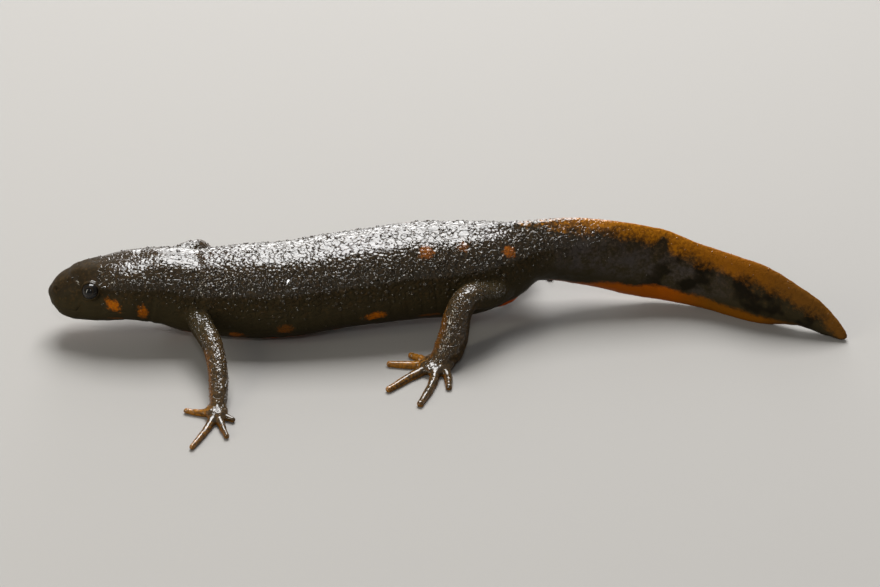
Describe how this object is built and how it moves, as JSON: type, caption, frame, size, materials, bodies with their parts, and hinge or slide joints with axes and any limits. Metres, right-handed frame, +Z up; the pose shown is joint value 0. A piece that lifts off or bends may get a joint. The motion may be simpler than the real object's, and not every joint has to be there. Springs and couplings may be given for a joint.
{
  "type": "fire-bellied newt model",
  "caption": "Still, life-size model of a dark granular newt walking on its belly, with orange cheek spots and an amber-edged, flattened tail.",
  "frame": {"origin": "on the floor under the middle of the model's box", "axes": "+Z up, head towards -X, tail towards +X, the animal's left side towards -Y"},
  "size_m": [0.096, 0.0463, 0.0124],
  "materials": {
    "skin_back": "dark brown-black, granular and wet",
    "skin_throat": "dark with orange-red blotches, wet",
    "skin_tail": "dark brown with amber and orange edges, wet",
    "skin_leg": "dark olive-brown, wet",
    "skin_foot": "dark olive-brown with orange toe tips, wet",
    "eye": "wet black with a thin dark bronze ring"
  },
  "bodies": {
    "root": {"head": "skin_back", "lower_jaw": "skin_throat", "eye_left": "eye", "eye_right": "eye", "neck": "skin_back", "trunk": "skin_back", "tail_base": "skin_tail", "tail_middle": "skin_tail", "tail_tip": "skin_tail", "upper_arm_left": "skin_leg", "forearm_left": "skin_leg", "thigh_left": "skin_leg", "shin_left": "skin_leg", "hand_left": "skin_foot", "foot_left": "skin_foot", "upper_arm_right": "skin_leg", "forearm_right": "skin_leg", "thigh_right": "skin_leg", "shin_right": "skin_leg", "hand_right": "skin_foot", "foot_right": "skin_foot"}
  },
  "joints": []
}
